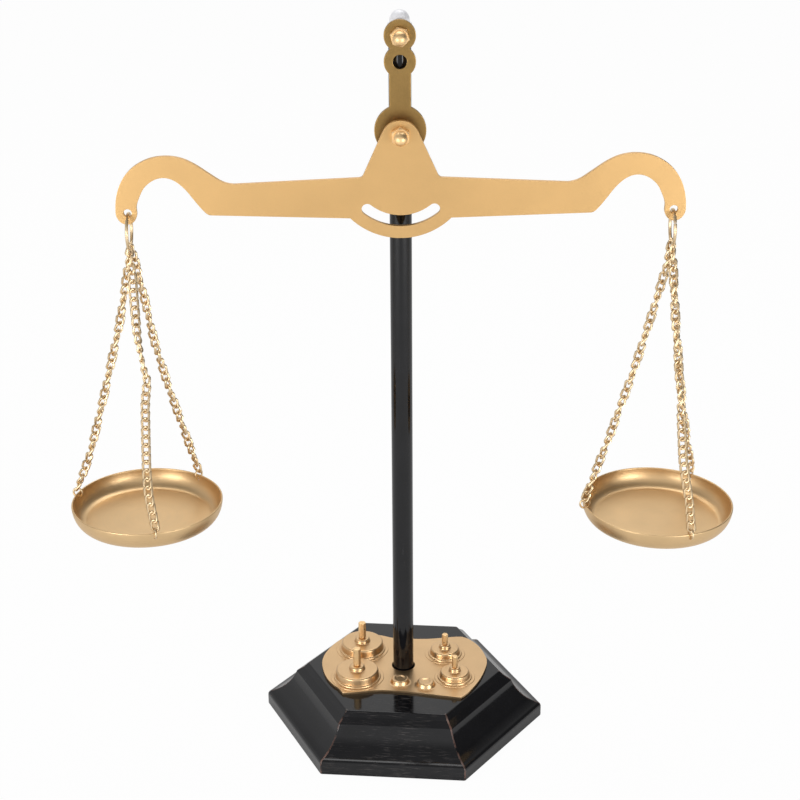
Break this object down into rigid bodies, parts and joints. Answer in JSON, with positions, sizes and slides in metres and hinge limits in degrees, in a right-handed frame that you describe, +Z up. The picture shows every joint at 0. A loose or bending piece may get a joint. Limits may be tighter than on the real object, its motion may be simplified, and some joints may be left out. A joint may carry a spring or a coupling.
{
  "type": "balance scale",
  "caption": "Brass beam balance on a black hexagonal block, with a hung beam, two pans on chains and a plate of small weights.",
  "frame": {"origin": "centre of the block's underside, on the axis of the post", "axes": "+Z up along the post, X along the beam, and the front of the balance faces -Y"},
  "size_m": [0.2912, 0.1174, 0.3286],
  "materials": {
    "block_lacquer": "gloss black lacquer, rubbed through to brown at the arrises",
    "plate_brass": "satin, pressed",
    "knob_brass": "semi-gloss",
    "post_lacquer": "gloss black",
    "fixing_steel": "plain zinc plated",
    "cap_chrome": "polished",
    "hanger_bronze": "antique bronze, satin",
    "nut_brass": "semi-gloss",
    "beam_brass": "fine satin",
    "ring_brass": "semi-gloss",
    "chain_brass": "semi-gloss",
    "pan_brass": "fine satin"
  },
  "bodies": {
    "stand": {"base_block": "block_lacquer", "weights_plate": "plate_brass", "weight_knob_back_left": "knob_brass", "weight_knob_front_left": "knob_brass", "weight_knob_back_right": "knob_brass", "weight_knob_front_right": "knob_brass", "post_tube": "post_lacquer", "post_plug": "fixing_steel", "post_screw": "fixing_steel", "post_washer": "fixing_steel", "post_cap": "cap_chrome", "hanger_plate": "hanger_bronze", "top_bolt": "fixing_steel", "top_cap_nut": "nut_brass", "pivot_bolt": "fixing_steel", "pivot_cap_nut": "nut_brass", "pivot_spacer": "nut_brass"},
    "beam": {"balance_beam": "beam_brass"},
    "ring_left": {"split_ring_left": "ring_brass"},
    "ring_right": {"split_ring_right": "ring_brass"},
    "pan_left": {"weighing_pan_left": "pan_brass", "chain_left_1": "chain_brass", "chain_left_2": "chain_brass", "chain_left_3": "chain_brass", "jump_ring_left_1": "chain_brass", "jump_ring_left_2": "chain_brass", "jump_ring_left_3": "chain_brass"},
    "pan_right": {"weighing_pan_right": "pan_brass", "chain_right_1": "chain_brass", "chain_right_2": "chain_brass", "chain_right_3": "chain_brass", "jump_ring_right_1": "chain_brass", "jump_ring_right_2": "chain_brass", "jump_ring_right_3": "chain_brass"}
  },
  "joints": [
    {"name": "beam_tilt", "type": "hinge", "parent": "stand", "child": "beam", "pos_m": [0, -0.01375, 0.2807], "axis": [0, 1, 0], "range_deg": [-40, 40]},
    {"name": "ring_left_swing", "type": "hinge", "parent": "beam", "child": "ring_left", "pos_m": [-0.1121, -0.01375, 0.24818], "axis": [0, 1, 0], "range_deg": [-40, 40]},
    {"name": "ring_right_swing", "type": "hinge", "parent": "beam", "child": "ring_right", "pos_m": [0.1121, -0.01375, 0.24818], "axis": [0, 1, 0], "range_deg": [-40, 40]},
    {"name": "pan_left_swing", "type": "hinge", "parent": "ring_left", "child": "pan_left", "pos_m": [-0.1121, -0.01375, 0.24098], "axis": [1, 0, 0], "range_deg": [-25, 25]},
    {"name": "pan_right_swing", "type": "hinge", "parent": "ring_right", "child": "pan_right", "pos_m": [0.1121, -0.01375, 0.24098], "axis": [1, 0, 0], "range_deg": [-25, 25]}
  ],
  "couplings": [
    {"joint": "ring_left_swing", "follows": "beam_tilt", "ratio": -1},
    {"joint": "ring_right_swing", "follows": "beam_tilt", "ratio": -1}
  ]
}
